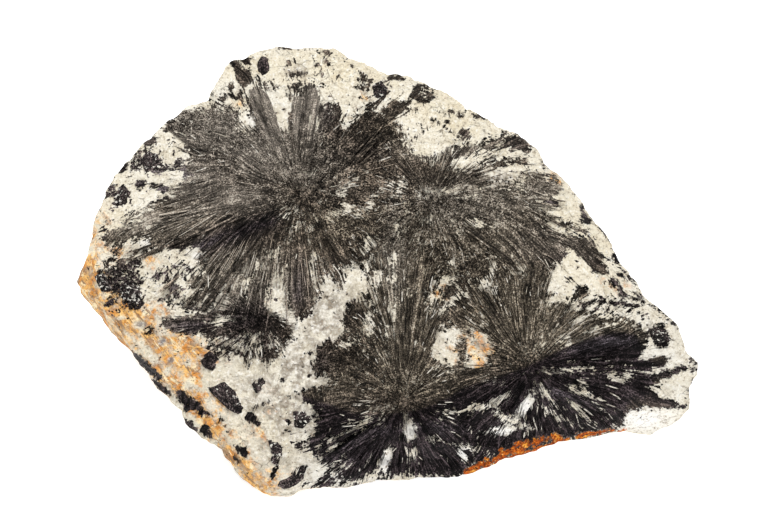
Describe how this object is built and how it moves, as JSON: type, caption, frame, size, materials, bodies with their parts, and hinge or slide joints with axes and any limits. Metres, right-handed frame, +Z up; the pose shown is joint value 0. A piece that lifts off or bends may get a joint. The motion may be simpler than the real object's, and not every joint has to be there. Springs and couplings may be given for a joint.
{
  "type": "aegirine crystal specimen",
  "caption": "Broken chunk of pale feldspar rock with black radiating aegirine crystal suns across its sloping upper face and its steep front face.",
  "frame": {"origin": "centre of the bounding box at the floor that the specimen rests on", "axes": "+X to the pointed right end, -Y toward the steep dark front face, +Z up"},
  "size_m": [0.1185, 0.0812, 0.0396],
  "materials": {
    "feldspar": "rough broken feldspar, cream to white, with ochre weathering stains",
    "aegirine": "black to olive-grey prismatic crystals with a soft glassy sheen"
  },
  "bodies": {
    "root": {"feldspar_matrix": "feldspar", "aegirine_suns": "aegirine", "slope_prism": "aegirine", "rim_diamond": "aegirine", "leaf_crystal": "aegirine", "tip_crystal": "aegirine", "middle_crystal": "aegirine", "lower_crystal": "aegirine", "plateau_crystal": "aegirine", "left_crystal": "aegirine", "left_low_crystal": "aegirine", "upper_left_crystal": "aegirine", "rim_crystal": "aegirine", "right_crystal": "aegirine", "niche_crystal": "aegirine"}
  },
  "joints": []
}
